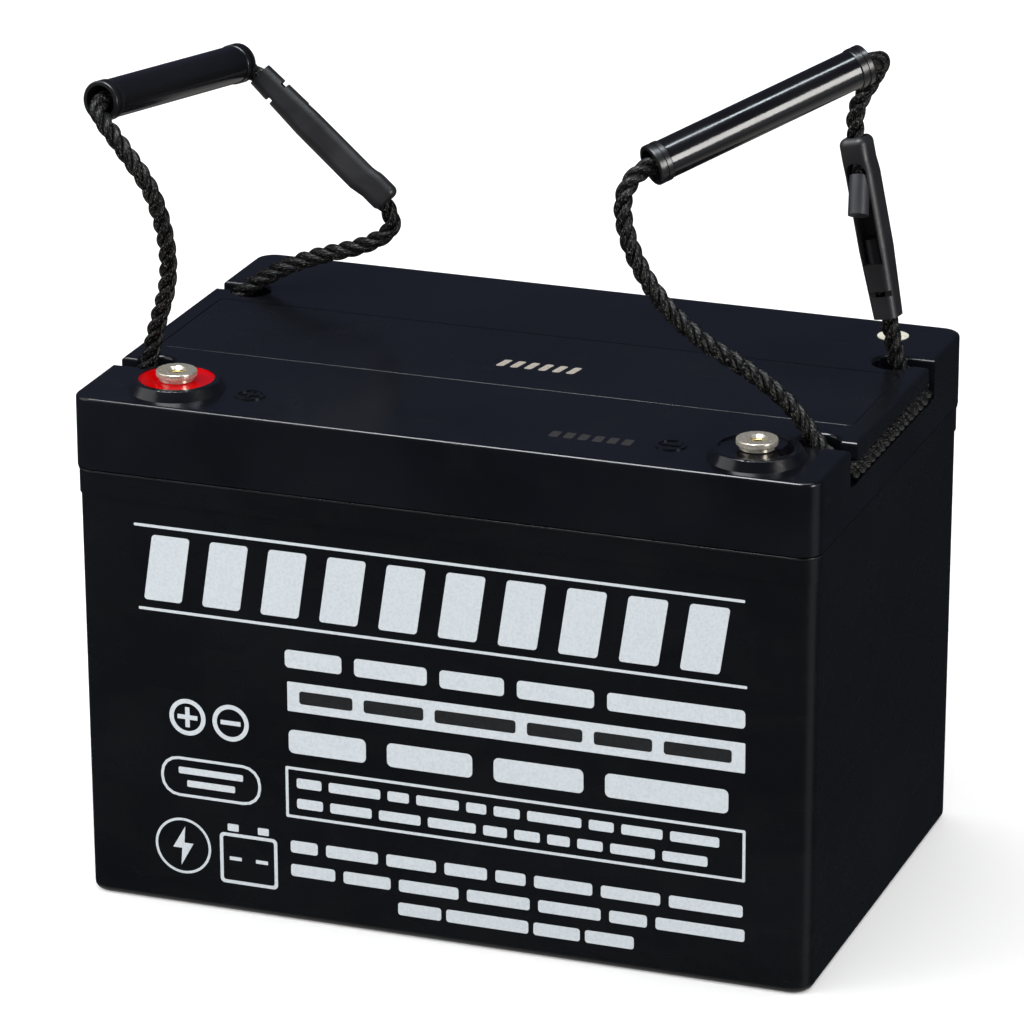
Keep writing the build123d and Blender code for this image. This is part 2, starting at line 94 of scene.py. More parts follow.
LEFT_ROUTE = [
    (-0.07888, 0.04973, 0.22298),
    (-0.06354, 0.05023, 0.20909),
    (-0.07200, 0.04940, 0.19860),
    (-0.10000, 0.04600, 0.19100),
    (-0.12050, 0.04450, 0.17880),
    (-0.12860, 0.04450, 0.16930),
    (-0.12850, 0.02850, 0.16942),
    (-0.12850, -0.02850, 0.16942),
    (-0.12860, -0.04450, 0.16930),
    (-0.11880, -0.04450, 0.17580),
    (-0.11590, -0.04440, 0.19100),
    (-0.10850, -0.04550, 0.21300),
    (-0.11200, -0.04900, 0.24000),
    (-0.12400, -0.04950, 0.25600),
    (-0.13770, -0.04340, 0.26780),
    (-0.13430, -0.02630, 0.26650),
    (-0.12290, 0.03230, 0.26170),
    (-0.11985, 0.04840, 0.26010),
    (-0.10466, 0.04890, 0.24634),
]
RIGHT_EXIT = (0.1145, 0.0440, 0.1944)
LEFT_EXIT = (-0.06856, 0.05007, 0.21363)

# ---- sizes: case and lid, from the frame ----
CASE_LOW, CASE_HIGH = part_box("case")
LID_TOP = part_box("vent_cover")[1].z  # the cover lies flush with the flat top of the lid
COLLAR_HEIGHT = 9.0 * MM
COLLAR_PROUD = 0.4 * MM
FRONT_DRAFT = 0.6 * MM
CORNER_R = 7.0 * MM

# ---- sizes: seam bead ----
BEAD_R = 0.35 * MM
BEAD_Z = CASE_HIGH.z - BEAD_R
BEAD_SIDES = 12
BEAD_CORNER_STEPS = 12

# ---- sizes: terminals ----
STEM_R = 5.8 * MM
POTTING_DEPTH = 3 * MM
POTTING_CURL = 0.45 * MM
STEM_CLIMB = 0.6  # of the curl
POOL_DIP = 0.2  # of the curl
CURL_STEPS = 5
LATHE_STEPS = 128
THREAD_R = 2.6 * MM
THREAD_PITCH = 1.0 * MM
THREAD_RISE = 0.5 * MM
THREAD_TURNS = 8
THREAD_STEPS = 48
THREAD_START = 1.2 * MM
THREAD_SECTION = ((0.02, 0.5), (-1.0, 0.08), (-1.0, -0.08), (0.02, -0.5))  # (rises out, pitches up)

# ---- sizes: print, in millimetres across from the middle and up from the floor ----
# Bars are equal and start at first, then every pitch up to last. Words are bars of random width.
Bars = namedtuple("Bars", "first last pitch width bottom top radius lean")
Words = namedtuple("Words", "left right bottom top shortest longest gap seed")
INK = 0.06 * MM
ROUNDING_STEPS = 4
CIRCLE_STEPS = 48
WORD_ROUNDING = 0.22  # of a bar's height
SIGN_REACH = 0.55  # of the ring's radius
UPPER_RULE = (-108, 106, 135.9, 136.9)
LOWER_RULE = (-107, 107, 106.2, 107.2)
GAUGE = Bars(-105, 84, 21, 13.6, 110.0, 133.4, 1.2, 3.5)
SUBTITLE = Words(-54.5, 106.5, 92.2, 98.6, 16, 34, 4.5, 3)
BAND = (-53.8, 106.6, 76.6, 87.2)
BAND_WORDS = Words(-49.5, 102.0, 79.6, 84.2, 10, 30, 4.0, 11)
RATING = Words(-53.6, 101.0, 61.5, 70.0, 14, 36, 7.5, 5)
FRAME = (-55, 107, 38.0, 56.5)
SMALL_WORDS = (
    Words(-51.0, 98.0, 49.0, 52.6, 6, 19, 2.6, 8),
    Words(-51.0, 94.0, 41.6, 45.2, 6, 19, 2.6, 13),
    Words(-53.6, 106.3, 25.2, 29.6, 7, 24, 3.0, 21),
    Words(-53.6, 107.0, 16.6, 21.0, 7, 24, 3.0, 34),
    Words(-15.0, 68.6, 8.0, 12.6, 14, 30, 1.8, 55),
)

# ---- sizes: stamps on the lid, in millimetres across and back from the middle ----
SILVER_STAMP = Bars(-8, 17, 5, 2.7, -6.4, 0.4, 0.8, 1.2)
# the faint stamp stands for a moulded code; its bars are coloured as painted highlight on the relief
FAINT_STAMP = Bars(33, 58, 5, 3.2, -68.0, -62.5, 0.6, 0.0)

# ---- sizes: studio ----
FLOOR_HALF = 8.0
FLOOR_GLOW = 0.22
REAR_FADE = (-0.1, 0.15)  # up the direction's Z
WALL_FADE = (0.82, 0.94)  # out along the direction's X
PAPER_FADE = (-0.5, -0.75)  # down the direction's Z


# ---- camera ----
def make_camera():
    """The camera, set by its place, heading, downward tilt and roll."""
    data = bpy.data.cameras.new("camera")
    data.lens = CAMERA_LENS
    data.sensor_width = CAMERA_SENSOR
    data.clip_start, data.clip_end = CAMERA_CLIP
    camera = bpy.data.objects.new("camera", data)
    flat = math.cos(CAMERA_DROP)
    forward = Vector(
        (-math.sin(CAMERA_AZIMUTH) * flat, math.cos(CAMERA_AZIMUTH) * flat, -math.sin(CAMERA_DROP))
    )
    camera.location = CAMERA_AT
    camera.rotation_mode = "QUATERNION"
    roll = Quaternion((0, 0, 1), CAMERA_ROLL)
    camera.rotation_quaternion = forward.to_track_quat("-Z", "Y") @ roll
    bpy.context.scene.collection.objects.link(camera)
    bpy.context.scene.camera = camera


# ---- meshes ----
def mesh_object(name, vertices, faces, material, smooth=True):
    """A mesh with one material, linked into the scene."""
    mesh = bpy.data.meshes.new(name)
    mesh.from_pydata(vertices, [], faces)
    mesh.polygons.foreach_set("use_smooth", [smooth] * len(mesh.polygons))
    mesh.materials.append(material)
    mesh.update()
    piece = bpy.data.objects.new(name, mesh)
    bpy.context.scene.collection.objects.link(piece)
    return piece


def lathe(name, centre, profile, material):
    """A closed ring turned about the vertical through centre; profile holds (radius, height)."""
    count = len(profile)
    vertices, faces = [], []
    for step in range(LATHE_STEPS):
        angle = 2 * math.pi * step / LATHE_STEPS
        for radius, height in profile:
            x = centre.x + radius * math.cos(angle)
            y = centre.y + radius * math.sin(angle)
            vertices.append((x, y, height))
        following = (step + 1) % LATHE_STEPS
        for i in range(count):
            j = (i + 1) % count
            faces.append(
                (step * count + i, following * count + i, following * count + j, step * count + j)
            )
    return mesh_object(name, vertices, faces, material)


# ---- ropes ----
def smooth_line(points):
    """The points that Blender gives for a NURBS curve through the route."""
    curve = bpy.data.curves.new("route", "CURVE")
    curve.dimensions = "3D"
    curve.resolution_u = LINE_STEPS
    spline = curve.splines.new("NURBS")
    spline.points.add(len(points) - 1)
    for point, at in zip(spline.points, points):
        point.co = (*at, 1)
    spline.order_u = 3
    spline.use_endpoint_u = True
    holder = bpy.data.objects.new("route", curve)
    mesh = bpy.data.meshes.new_from_object(holder)
    line = [v.co.copy() for v in mesh.vertices]
    bpy.data.objects.remove(holder)
    bpy.data.meshes.remove(mesh)
    return line


def evenly(line, step):
    """The same line with its points a step apart."""
    out, remaining = [line[0]], step
    for start, end in zip(line, line[1:]):
        run = (end - start).length
        while run > 0 and remaining <= run:
            out.append(start.lerp(end, remaining / run))
            remaining += step
        remaining -= run
    return out


def frames_along(line):
    """For each point of the line its tangent and a side that never twists."""
    side = Vector((0, 0, 1))
    frames = []
    for i in range(len(line)):
        tangent = (line[min(i + 1, len(line) - 1)] - line[max(i - 1, 0)]).normalized()
        side = (side - tangent * side.dot(tangent)).normalized()
        frames.append((tangent, side.copy()))
    return frames


def strand(line, frames, phase):
    """Centre points of one strand and the way out of the rope at each of them."""
    centres, outs = [], []
    for i, (point, (tangent, side)) in enumerate(zip(line, frames)):
        angle = phase + 2 * math.pi * i * ROPE_STEP / ROPE_PITCH
        out = side * math.cos(angle) + tangent.cross(side) * math.sin(angle)
        centres.append(point + out * STRAND_LAY_R)
        outs.append(out)
    return centres, outs


def make_rope(name, line, material):
    """Three laid strands, each ridged by its yarns, which twist the other way."""
    frames = frames_along(line)
    around = YARNS * YARN_VERTS
    vertices, faces, marks = [], [], []
    for index in range(STRANDS):
        centres, outs = strand(line, frames, 2 * math.pi * index / STRANDS)
        first = len(vertices)
        for i, (centre, out) in enumerate(zip(centres, outs)):
            ahead = centres[min(i + 1, len(centres) - 1)] - centres[max(i - 1, 0)]
            tangent = ahead.normalized()
            out = (out - tangent * out.dot(tangent)).normalized()
            across = tangent.cross(out)
            for k in range(around):
                angle = 2 * math.pi * (k / around - i * ROPE_STEP / YARN_PITCH)
                radius = STRAND_R * (1 - YARN_DEPTH * (k % YARN_VERTS == 0))
                vertices.append(centre + (out * math.cos(angle) + across * math.sin(angle)) * radius)
                marks.append((k / around, i * ROPE_STEP))
        for i in range(len(centres) - 1):
            for k in range(around):
                a = first + i * around + k
                b = first + i * around + (k + 1) % around
                faces.append((a, b, b + around, a + around))
        faces.append([first + k for k in reversed(range(around))])
        faces.append([first + (len(centres) - 1) * around + k for k in range(around)])
    rope = mesh_object(name, vertices, faces, material)
    layer = rope.data.uv_layers.new(name="strand")
    layer.data.foreach_set("uv", [c for loop in rope.data.loops for c in marks[loop.vertex_index]])
    return rope


# ---- material nodes ----
def principled(name, colour, roughness, specular, metallic=0.0):
    """A new material with its node tree and its shader."""
    material = bpy.data.materials.new(name)
    material.use_nodes = True
    shader = material.node_tree.nodes["Principled BSDF"]
    shader.inputs["Base Color"].default_value = (*colour, 1)
    shader.inputs["Roughness"].default_value = roughness
    shader.inputs["Specular IOR Level"].default_value = specular
    shader.inputs["Metallic"].default_value = metallic
    return material, material.node_tree, shader


def object_space(tree, stretch=(1, 1, 1)):
    """Coordinates in metres on the object, stretched per axis."""
    coordinates = tree.nodes.new("ShaderNodeTexCoord")
    mapping = tree.nodes.new("ShaderNodeMapping")
    mapping.inputs["Scale"].default_value = stretch
    tree.links.new(coordinates.outputs["Object"], mapping.inputs["Vector"])
    return mapping.outputs["Vector"]


def noise(tree, vector, scale, detail, distortion=0.0):
    """A cloudy value between 0 and 1."""
    node = tree.nodes.new("ShaderNodeTexNoise")
    node.inputs["Scale"].default_value = scale
    node.inputs["Detail"].default_value = detail
    node.inputs["Distortion"].default_value = distortion
    tree.links.new(vector, node.inputs["Vector"])
    return node.outputs["Fac"]


def blend_colours(tree, value, low, high, start=0.35, end=0.65):
    """A colour that runs from low to high as the value does from start to end."""
    ramp = tree.nodes.new("ShaderNodeValToRGB")
    ramp.color_ramp.elements[0].position = start
    ramp.color_ramp.elements[0].color = (*low, 1)
    ramp.color_ramp.elements[1].position = end
    ramp.color_ramp.elements[1].color = (*high, 1)
    tree.links.new(value, ramp.inputs["Fac"])
    return ramp.outputs["Color"]


def spread(tree, value, low, high, start=0.3, end=0.7):
    """A number that runs from low to high as the value does from start to end."""
    node = tree.nodes.new("ShaderNodeMapRange")
    node.inputs["From Min"].default_value = start
    node.inputs["From Max"].default_value = end
    node.inputs["To Min"].default_value = low
    node.inputs["To Max"].default_value = high
    tree.links.new(value, node.inputs["Value"])
    return node.outputs["Result"]


def add_bump(tree, shader, height, depth, strength=1.0):
    """Relief of the given depth where the height runs from 0 to 1."""
    node = tree.nodes.new("ShaderNodeBump")
    node.inputs["Distance"].default_value = depth
    node.inputs["Strength"].default_value = strength
    tree.links.new(height, node.inputs["Height"])
    tree.links.new(node.outputs["Normal"], shader.inputs["Normal"])


# ---- materials ----
def moulded_plastic(name, dark, light, rough, specular, depth=0.02, stretch=(1, 1, 1)):
    """Black moulded plastic: cloudy tone, uneven gloss and a fine grain of that depth in millimetres."""
    material, tree, shader = principled(name, dark, rough[0], specular)
    space = object_space(tree, stretch)
    clouds = noise(tree, space, scale=14.0, detail=5.0, distortion=0.6)
    tree.links.new(blend_colours(tree, clouds, dark, light), shader.inputs["Base Color"])
    smears = noise(tree, space, scale=45.0, detail=6.0, distortion=1.2)
    tree.links.new(spread(tree, smears, *rough), shader.inputs["Roughness"])
    grain = noise(tree, space, scale=900.0, detail=3.0)
    add_bump(tree, shader, grain, depth * MM)
    return material


def rope_nylon():
    """Black multifilament nylon: short pale dashes along each yarn, painted highlights in the base
    colour.
    """
    material, tree, shader = principled("rope_nylon", (0.004, 0.004, 0.004), 0.4, specular=0.15)
    uv = tree.nodes.new("ShaderNodeUVMap")
    uv.uv_map = "strand"
    mapping = tree.nodes.new("ShaderNodeMapping")
    mapping.inputs["Scale"].default_value = (3.0 * YARNS, 1500.0, 1.0)
    tree.links.new(uv.outputs["UV"], mapping.inputs["Vector"])
    painted_glint_mask = noise(tree, mapping.outputs["Vector"], scale=1.0, detail=1.5)
    # painted highlights: the pale colour stands in for light glinting off the yarns; the thread colour is
    # the near-black nylon
    thread, painted_glint = (0.0012, 0.0012, 0.0014), (0.18, 0.172, 0.16)
    colour = blend_colours(tree, painted_glint_mask, thread, painted_glint, start=0.60, end=0.69)
    tree.links.new(colour, shader.inputs["Base Color"])
    tree.links.new(spread(tree, painted_glint_mask, 0.25, 0.5), shader.inputs["Roughness"])
    add_bump(tree, shader, painted_glint_mask, 0.1 * MM)
    return material


def turned_metal(name, dark, light, centre, rough):
    """Plated metal, speckled, with fine rings about the vertical through centre."""
    material, tree, shader = principled(name, light, rough[0], specular=0.5, metallic=0.6)
    space = object_space(tree)
    shift = tree.nodes.new("ShaderNodeVectorMath")
    shift.operation = "SUBTRACT"
    shift.inputs[1].default_value = centre
    tree.links.new(space, shift.inputs[0])
    rings = tree.nodes.new("ShaderNodeTexWave")
    rings.wave_type = "RINGS"
    rings.rings_direction = "Z"
    rings.inputs["Scale"].default_value = 900.0
    rings.inputs["Distortion"].default_value = 2.0
    rings.inputs["Detail"].default_value = 3.0
    rings.inputs["Detail Scale"].default_value = 2.0
    tree.links.new(shift.outputs["Vector"], rings.inputs["Vector"])
    add_bump(tree, shader, rings.outputs["Fac"], 0.02 * MM, strength=0.4)
    tarnish = noise(tree, space, scale=2000.0, detail=3.0)
    tree.links.new(blend_colours(tree, tarnish, dark, light), shader.inputs["Base Color"])
    tree.links.new(spread(tree, tarnish, *rough), shader.inputs["Roughness"])
    return material


def resin(name, deep, bright):
    """Glossy coloured potting with a faintly wavy surface."""
    material, tree, shader = principled(name, bright, 0.06, specular=0.4)
    space = object_space(tree)
    patches = noise(tree, space, scale=120.0, detail=4.0, distortion=0.8)
    tree.links.new(blend_colours(tree, patches, deep, bright), shader.inputs["Base Color"])
    tree.links.new(spread(tree, patches, 0.09, 0.04), shader.inputs["Roughness"])
    waves = noise(tree, space, scale=160.0, detail=2.0)
    add_bump(tree, shader, waves, 0.06 * MM)
    return material


def printed_ink(name, worn, fresh):
    """Silk-screened ink, slightly uneven from the mesh."""
    material, tree, shader = principled(name, fresh, 0.5, specular=0.4)
    space = object_space(tree)
    scuffs = noise(tree, space, scale=1100.0, detail=4.0)
    colour = blend_colours(tree, scuffs, worn, fresh, start=0.3, end=0.6)
    tree.links.new(colour, shader.inputs["Base Color"])
    mesh_marks = noise(tree, space, scale=2600.0, detail=2.0)
    tree.links.new(spread(tree, mesh_marks, 0.42, 0.6), shader.inputs["Roughness"])
    add_bump(tree, shader, mesh_marks, 0.02 * MM)
    return material


def speckled(name, dark, light, scale, rough, metallic=0.0):
    """A dull speckled surface: cast lead, glass mat, rubber, paper or brass."""
    material, tree, shader = principled(name, dark, rough[0], specular=0.4, metallic=metallic)
    spots = noise(tree, object_space(tree), scale, detail=5.0, distortion=0.3)
    tree.links.new(blend_colours(tree, spots, dark, light), shader.inputs["Base Color"])
    tree.links.new(spread(tree, spots, *rough), shader.inputs["Roughness"])
    add_bump(tree, shader, spots, 0.1 * MM)
    return material


# ---- outlines of the print ----
def on_front(x, z, lift):
    """A point on the drafted front face, raised off it, from millimetres across and up."""
    shoulder = CASE_HIGH.z - COLLAR_HEIGHT
    face = CASE_LOW.y + COLLAR_PROUD
    return (x * MM, face + FRONT_DRAFT * (1 - z * MM / shoulder) - lift, z * MM)


def on_lid(x, y, lift):
    """A point on the lid's flat top, raised off it, from millimetres across and back."""
    return (x * MM, y * MM, LID_TOP + lift)


def rounded(left, right, bottom, top, radius, lean=0.0):
    """The outline of a rectangle with rounded corners; its top leans over to the right."""
    corners = ((right - radius, top - radius), (left + radius, top - radius))
    corners += ((left + radius, bottom + radius), (right - radius, bottom + radius))
    outline = []
    for quarter, (x, z) in enumerate(corners):
        for step in range(ROUNDING_STEPS + 1):
            angle = math.pi / 2 * (quarter + step / ROUNDING_STEPS)
            height = z + radius * math.sin(angle)
            shift = lean * (height - bottom) / (top - bottom)
            outline.append((x + radius * math.cos(angle) + shift, height))
    return outline


def outlined(left, right, bottom, top, line, radius, inner_radius):
    """A rounded rectangle drawn as a line of that width."""
    outer = rounded(left, right, bottom, top, radius)
    inner = rounded(left + line, right - line, bottom + line, top - line, inner_radius)
    return [outer, inner]


def circle(x, z, radius):
    """The outline of a circle."""
    angles = [2 * math.pi * step / CIRCLE_STEPS for step in range(CIRCLE_STEPS)]
    return [(x + radius * math.cos(a), z + radius * math.sin(a)) for a in angles]


def bar_row(bars):
    """A row of equal bars."""
    starts = range(bars.first, bars.last + 1, bars.pitch)
    return [rounded(x, x + bars.width, bars.bottom, bars.top, bars.radius, bars.lean) for x in starts]


def word_bars(words):
    """One line of text stood in for by plain bars of uneven length."""
    dice = random.Random(words.seed)
    radius = (words.top - words.bottom) * WORD_ROUNDING
    loops, x = [], words.left
    while x < words.right - words.shortest:
        end = min(x + dice.uniform(words.shortest, words.longest), words.right)
        if words.right - end < words.shortest + words.gap:
            end = words.right
        loops.append(rounded(x, end, words.bottom, words.top, radius))
        x = end + words.gap
    return loops


def plus_minus(x, z, radius, line, plus):
    """A ring with a plus or a minus inside."""
    reach, half = radius * SIGN_REACH, line / 2
    loops = [circle(x, z, radius), circle(x, z, radius - line)]
    if plus:
        loops.append(
            [
                (x - reach, z - half), (x - half, z - half), (x - half, z - reach),
                (x + half, z - reach), (x + half, z - half), (x + reach, z - half),
                (x + reach, z + half), (x + half, z + half), (x + half, z + reach),
                (x - half, z + reach), (x - half, z + half), (x - reach, z + half),
            ]
        )
    else:
        loops.append(rounded(x - reach, x + reach, z - half, z + half, radius=0.1))
    return loops


def oval_mark():
    """A long ring round two bars."""
    loops = outlined(-100.5, -64, 40.0, 54.5, line=1.0, radius=6.5, inner_radius=5.6)
    loops.append(rounded(-94, -70.5, 48.4, 50.8, radius=0.5))
    loops.append(rounded(-91, -73.5, 43.8, 46.2, radius=0.5))
    return loops


def bolt_mark(x, z, radius, line, size):
    """A plain flash of lightning in a ring."""
    shape = ((0.12, 1), (-0.52, -0.12), (-0.06, -0.12), (-0.12, -1), (0.52, 0.16), (0.06, 0.16))
    bolt = [(x + size * u, z + size * v) for u, v in shape]
    return [circle(x, z, radius), circle(x, z, radius - line), bolt]


def battery_mark():
    """The outline of a battery with two terminals and a dash under each."""
    loops = outlined(-79.5, -58.5, 10.5, 29.0, line=1.2, radius=1.6, inner_radius=0.9)
    loops += [rounded(left, left + 4.0, 29.8, 32.4, radius=0.4) for left in (-76.5, -65.5)]
    loops += [rounded(left, left + 4.4, 19.1, 20.4, radius=0.1) for left in (-76.0, -66.4)]
    return loops


# ---- print and stamps ----
def printed(name, loops, material, lift=INK, base=0.0, place=on_front, inward=(0, 1, 0)):
    """Ink of even thickness inside the loops; a loop inside another is a hole."""
    into = Vector(inward)
    shape = bmesh.new()
    for loop in loops:
        ring = [shape.verts.new(place(x, z, lift)) for x, z in loop]
        for a, b in zip(ring, ring[1:] + ring[:1]):
            shape.edges.new((a, b))
    bmesh.ops.triangle_fill(shape, edges=shape.edges[:], use_beauty=True, normal=-into)
    bmesh.ops.recalc_face_normals(shape, faces=shape.faces[:])
    back = bmesh.ops.extrude_face_region(shape, geom=shape.faces[:])
    moved = [v for v in back["geom"] if isinstance(v, bmesh.types.BMVert)]
    bmesh.ops.translate(shape, verts=moved, vec=into * (lift - base))
    bmesh.ops.recalc_face_normals(shape, faces=shape.faces[:])
    mesh = bpy.data.meshes.new(name)
    shape.to_mesh(mesh)
    shape.free()
    mesh.materials.append(material)
    piece = bpy.data.objects.new(name, mesh)
    bpy.context.scene.collection.objects.link(piece)
    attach(piece, "battery")


def make_print(white, black):
    """The white screen print: rules, a gauge, bars in place of text, and plain symbols."""
    rules = [rounded(*UPPER_RULE, radius=0.3), rounded(*LOWER_RULE, radius=0.3)]
    printed("print_rules", rules, white)
    printed("print_gauge", bar_row(GAUGE), white)
    printed("print_subtitle", word_bars(SUBTITLE), white)
    printed("print_band", [rounded(*BAND, radius=0.4)], white)
    printed("print_band_bars", word_bars(BAND_WORDS), black, lift=2 * INK, base=INK)
    printed("print_rating", word_bars(RATING), white)
    printed("print_frame", outlined(*FRAME, line=1.0, radius=0.6, inner_radius=0.3), white)
    small = [loop for words in SMALL_WORDS for loop in word_bars(words)]
    printed("print_small_bars", small, white)
    marks = plus_minus(-90.3, 69.2, radius=6.6, line=1.6, plus=True)
    marks += plus_minus(-74.6, 69.2, radius=6.6, line=1.6, plus=False)
    marks += oval_mark()
    marks += bolt_mark(-93, 21.8, radius=10.2, line=0.9, size=7.2)
    marks += battery_mark()
    printed("print_symbols", marks, white)


def make_stamps(silver, dull):
    """Plain bars on the lid where a battery has its codes: a silver print, and a moulded code whose grey
    is painted highlight.
    """
    down = (0, 0, -1)
    printed("stamp_silver", bar_row(SILVER_STAMP), silver, place=on_lid, inward=down)
    # the faint bars are a shade lighter than the lid: painted highlight for light caught by the moulded
    # relief
    printed("stamp_faint", bar_row(FAINT_STAMP), dull, place=on_lid, inward=down)


# ---- seam bead ----
def make_seam_bead(material):
    """The thin moulded bead round the top of the case, just under the lid."""
    middles = ((1, 1), (-1, 1), (-1, -1), (1, -1))
    path = []
    for quarter, (sign_x, sign_y) in enumerate(middles):
        middle = Vector((sign_x * (CASE_HIGH.x - CORNER_R), sign_y * (CASE_HIGH.y - CORNER_R), BEAD_Z))
        for step in range(BEAD_CORNER_STEPS + 1):
            angle = math.pi / 2 * (quarter + step / BEAD_CORNER_STEPS)
            out = Vector((math.cos(angle), math.sin(angle), 0))
            path.append((middle + out * CORNER_R, out))
    vertices, faces = [], []
    for at, out in path:
        for k in range(BEAD_SIDES):
            angle = 2 * math.pi * k / BEAD_SIDES
            vertices.append(at + (out * math.cos(angle) + Vector((0, 0, math.sin(angle)))) * BEAD_R)
    for i in range(len(path)):
        here, there = i * BEAD_SIDES, (i + 1) % len(path) * BEAD_SIDES
        for k in range(BEAD_SIDES):
            j = (k + 1) % BEAD_SIDES
            faces.append((here + k, there + k, there + j, here + j))
    bead = mesh_object("seam_bead", vertices, faces, material)
    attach(bead, "battery")


# ---- terminals ----
def make_potting(pole, material):
    """Resin with a curved rim where it wets the cup and the insert."""
    low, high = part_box(f"{pole}_terminal_potting")
    centre = (low + high) / 2
    cup = (high.x - low.x) / 2
    top, curl = high.z, POTTING_CURL
    profile = [(STEM_R, top - POTTING_DEPTH)]
    profile.append((STEM_R, top + STEM_CLIMB * curl))
    for step in range(1, CURL_STEPS + 1):
        share = step / CURL_STEPS
        height = top + STEM_CLIMB * curl * (1 - share) ** 2 - curl * POOL_DIP * share
        profile.append((STEM_R + share * 2 * curl, height))
    for step in range(CURL_STEPS + 1):
        share = step / CURL_STEPS
        height = top + curl * share**2 - curl * POOL_DIP * (1 - share)
        profile.append((cup - (1 - share) * 2 * curl, height))
    profile.append((cup, top - POTTING_DEPTH))
    piece = lathe(f"{pole}_resin", centre, profile, material)
    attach(piece, "battery")
    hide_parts(f"{pole}_terminal_potting")


def make_thread(pole, material):
    """The screw thread inside the insert, as a ridge that winds down the hole."""
    low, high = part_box(f"{pole}_terminal_insert")
    centre = (low + high) / 2
    top = high.z - THREAD_START
    count = len(THREAD_SECTION)
    total = THREAD_STEPS * THREAD_TURNS
    vertices, faces = [], []
    for step in range(total + 1):
        angle = 2 * math.pi * step / THREAD_STEPS
        height = top - THREAD_PITCH * step / THREAD_STEPS
        for out, up in THREAD_SECTION:
            radius = THREAD_R + out * THREAD_RISE
            x = centre.x + radius * math.cos(angle)
            y = centre.y + radius * math.sin(angle)
            vertices.append((x, y, height + up * THREAD_PITCH))
    for step in range(total):
        a, b = step * count, (step + 1) * count
        for i in range(count):
            j = (i + 1) % count
            faces.append((a + i, a + j, b + j, b + i))
    faces.append([-i % count for i in range(count)])
    faces.append([total * count + i for i in range(count)])
    piece = mesh_object(f"{pole}_thread_ridge", vertices, faces, material)
    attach(piece, "battery")


# ---- frame nodes ----
def paint(node, material):
    """Puts one material on a frame node."""
    mesh = nodes[node].data
    mesh.materials.clear()
    mesh.materials.append(material)


# ---- studio ----
def softbox(name, at, towards, size, power, colour=(1, 1, 1), fills=False):
    """A soft panel; one that does not fill only shows in glossy surfaces."""
    light = bpy.data.lights.new(name, "AREA")
    light.shape = "RECTANGLE"
    light.size, light.size_y = size
    light.energy = power
    light.color = colour
    lamp = bpy.data.objects.new(name, light)
    lamp.visible_diffuse = fills
    lamp.location = at
    lamp.rotation_mode = "QUATERNION"
    lamp.rotation_quaternion = (Vector(towards) - Vector(at)).to_track_quat("-Z", "Y")
    bpy.context.scene.collection.objects.link(lamp)


def gradient_mix(tree, value, start, end, low, high):
    """Mixes two backgrounds as the value runs from start to end."""
    mix = tree.nodes.new("ShaderNodeMixShader")
    tree.links.new(spread(tree, value, 0.0, 1.0, start, end), mix.inputs["Fac"])
    tree.links.new(low, mix.inputs[1])
    tree.links.new(high, mix.inputs[2])
    return mix.outputs["Shader"]


def background(tree, colour, strength):
    """One even background of the world."""
    node = tree.nodes.new("ShaderNodeBackground")
    node.inputs["Color"].default_value = (*colour, 1)
    node.inputs["Strength"].default_value = strength
    return node.outputs["Background"]


def make_world():
    """Bright for the floor and dull surfaces; gloss mirrors a dim studio with a paler floor."""
    world = bpy.data.worlds.new("studio")
    world.use_nodes = True
    bpy.context.scene.world = world
    tree = world.node_tree
    tree.nodes.clear()
    bright = background(tree, (1, 1, 1), 1.08)
    dim = background(tree, (0.7, 0.8, 1.0), 0.03)
    rear = background(tree, (0.5, 0.58, 1.0), 0.09)
    wall = background(tree, (0.9, 0.95, 1.0), 0.5)
    paper = background(tree, (1.0, 0.97, 0.93), 0.7)
    coordinates = tree.nodes.new("ShaderNodeTexCoord")
    split = tree.nodes.new("ShaderNodeSeparateXYZ")
    tree.links.new(coordinates.outputs["Generated"], split.inputs["Vector"])
    room = gradient_mix(tree, split.outputs["Z"], *REAR_FADE, dim, rear)
    room = gradient_mix(tree, split.outputs["X"], *WALL_FADE, room, wall)
    room = gradient_mix(tree, split.outputs["Z"], *PAPER_FADE, room, paper)
    rays = tree.nodes.new("ShaderNodeLightPath")
    shown = gradient_mix(tree, rays.outputs["Is Glossy Ray"], 0.0, 1.0, bright, room)
    out = tree.nodes.new("ShaderNodeOutputWorld")
    tree.links.new(shown, out.inputs["Surface"])


def make_floor():
    """A pale floor with a faint glow of its own, left out of reflections."""
    material, tree, shader = principled("floor_paper", (0.92, 0.92, 0.92), 0.9, specular=0.1)
    shader.inputs["Emission Color"].default_value = (1, 1, 1, 1)
    shader.inputs["Emission Strength"].default_value = FLOOR_GLOW
    half = FLOOR_HALF
    corners = [(-half, -half, 0), (half, -half, 0), (half, half, 0), (-half, half, 0)]
    floor = mesh_object("floor", corners, [(0, 1, 2, 3)], material, smooth=False)
    floor.visible_glossy = False


# ---- scene: studio ----
bpy.context.scene.view_settings.view_transform = "Standard"
make_camera()
make_world()
make_floor()
softbox("overhead", (-0.3, -0.42, 1.7), (0, 0, 0.2), size=(0.9, 0.7), power=55, colour=(0.94, 0.97, 1.0))
softbox("strip", (0.24, 0.05, 1.46), (0.08, 0, 0.27), size=(0.14, 0.9), power=8, colour=(0.85, 0.93, 1.0))
softbox("left", (-1.1, -0.62, 0.85), (0, 0, 0.2), size=(1.1, 1.1), power=8, fills=True)
softbox("right", (1.42, -0.48, 0.52), (0, 0, 0.25), size=(0.5, 0.7), power=17, colour=(1.0, 0.98, 0.95))

# ---- scene: ropes ----
nylon = rope_nylon()
for side, route, leaves in (("left", LEFT_ROUTE, LEFT_EXIT), ("right", RIGHT_ROUTE, RIGHT_EXIT)):
    line = evenly(smooth_line(route), ROPE_STEP)
    rope = make_rope(f"{side}_rope", line, nylon)
    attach(rope, f"{side}_handle")
    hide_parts(f"{side}_handle_rope")

